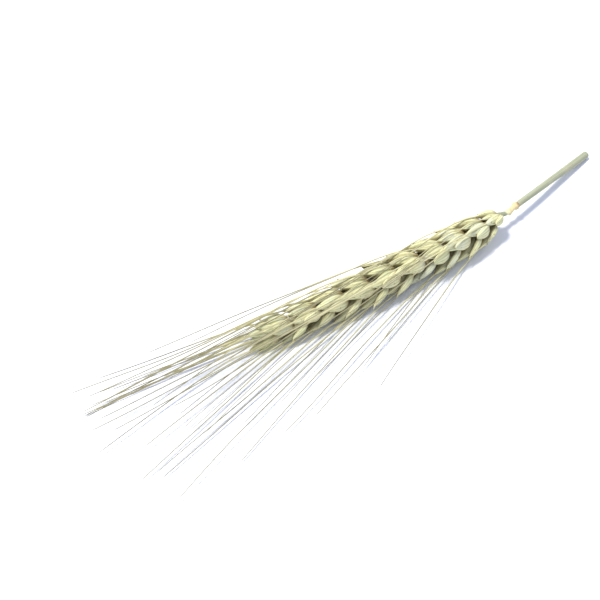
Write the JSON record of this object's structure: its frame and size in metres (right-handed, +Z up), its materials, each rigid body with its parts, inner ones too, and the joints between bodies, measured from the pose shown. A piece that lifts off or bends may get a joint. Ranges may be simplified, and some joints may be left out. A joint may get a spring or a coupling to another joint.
{
  "type": "wheat ear",
  "caption": "Dried bearded wheat ear with long awns on a short cut length of hollow straw, lying on its side.",
  "frame": {"origin": "on the surface that the ear lies on, under the middle of the whole ear's box, awns and straw included", "axes": "+Z up, +X towards the cut end of the straw and -X towards the awn tips, +Y across the lying ear"},
  "size_m": [0.2136, 0.0503, 0.0228],
  "materials": {
    "husk": "dry papery husk, pale straw yellow with a green cast, faint nerves and brown flecks",
    "straw": "dry grey-green straw with a pale waxy bloom and fine lengthwise ribs"
  },
  "bodies": {
    "root": {"ear": "husk", "stem": "straw"}
  },
  "joints": []
}
